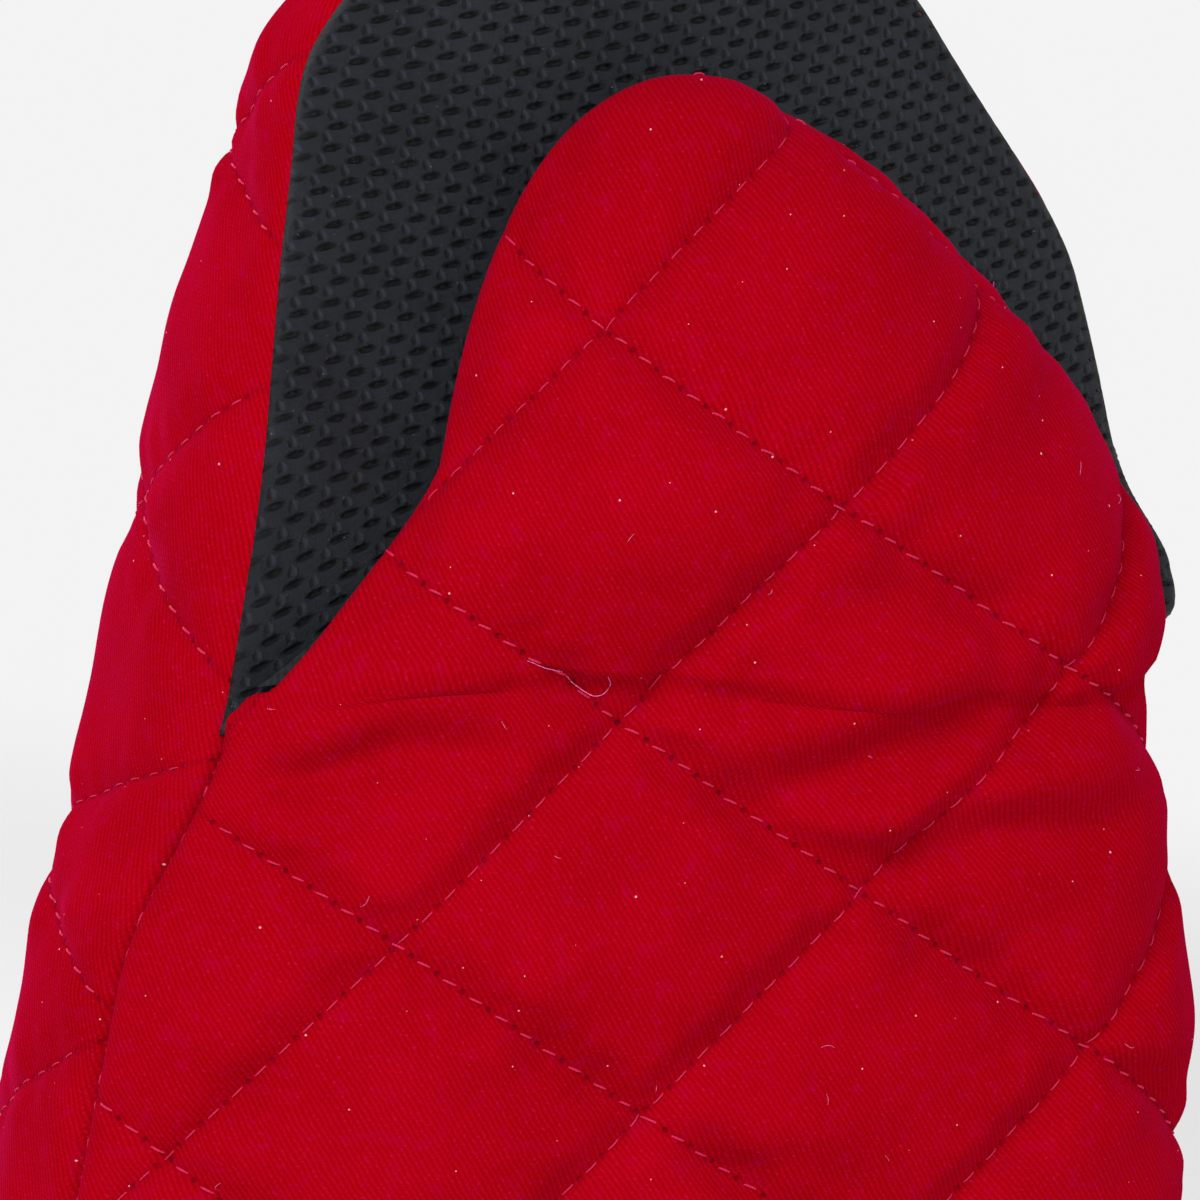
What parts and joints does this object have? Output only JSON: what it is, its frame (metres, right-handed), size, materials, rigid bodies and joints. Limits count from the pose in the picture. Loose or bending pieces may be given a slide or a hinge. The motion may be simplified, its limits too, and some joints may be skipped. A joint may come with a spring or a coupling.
{
  "type": "oven mitt",
  "caption": "Quilted red cotton oven mitt, thumb half hinged at the mouth, with an embossed black grip palm and a hanging loop.",
  "frame": {"origin": "centre of the whole mitt's box in X and Y, hanging loop included, at the cuff rim in Z", "axes": "+Z from the cuff rim to the fingertips; the thumb half faces -Y; +X towards the hanging loop"},
  "size_m": [0.2224, 0.0854, 0.3003],
  "materials": {
    "twill_red": "quilted cotton twill",
    "batting": "needled polyester batting",
    "lining": "plain cotton lining",
    "grip_foam": "embossed satin foam rubber",
    "knit": "knitted backing",
    "thread_red": "polyester sewing thread",
    "thread_dark": "polyester sewing thread",
    "tape_red": "woven cotton tape",
    "label": "satin woven tape, blank"
  },
  "bodies": {
    "mitt_body": {"back_shell": "twill_red", "back_batting": "batting", "back_lining": "lining", "front_shell": "twill_red", "front_batting": "batting", "front_lining": "lining", "front_fold": "twill_red", "finger_grip": "grip_foam", "finger_grip_backing": "knit", "finger_grip_lining": "lining", "mouth_fold": "grip_foam", "finger_seam_thread": "thread_dark", "left_seam_thread": "thread_red", "right_seam_thread": "thread_red", "back_quilting": "thread_red", "front_quilting": "thread_red", "cuff_binding": "tape_red", "binding_thread": "thread_red", "loop_bar_tack": "thread_red", "care_label": "label"},
    "thumb_half": {"thumb_shell": "twill_red", "thumb_batting": "batting", "thumb_lining": "lining", "thumb_grip": "grip_foam", "thumb_grip_backing": "knit", "thumb_grip_lining": "lining", "thumb_seam_thread": "thread_red", "thumb_quilting": "thread_red"},
    "loop": {"hang_loop": "tape_red"}
  },
  "joints": [
    {"name": "thumb_hinge", "type": "hinge", "parent": "mitt_body", "child": "thumb_half", "pos_m": [-0.0188, -0.00901, 0.2], "axis": [0.9918, 0.1277, 0], "range_deg": [0, 50], "deforming": ["front_fold", "mouth_fold"]},
    {"name": "loop_hinge", "type": "hinge", "parent": "mitt_body", "child": "loop", "pos_m": [0.06953, 0.00009, 0.007], "axis": [0, 0, 1], "range_deg": [-65, 65]}
  ]
}
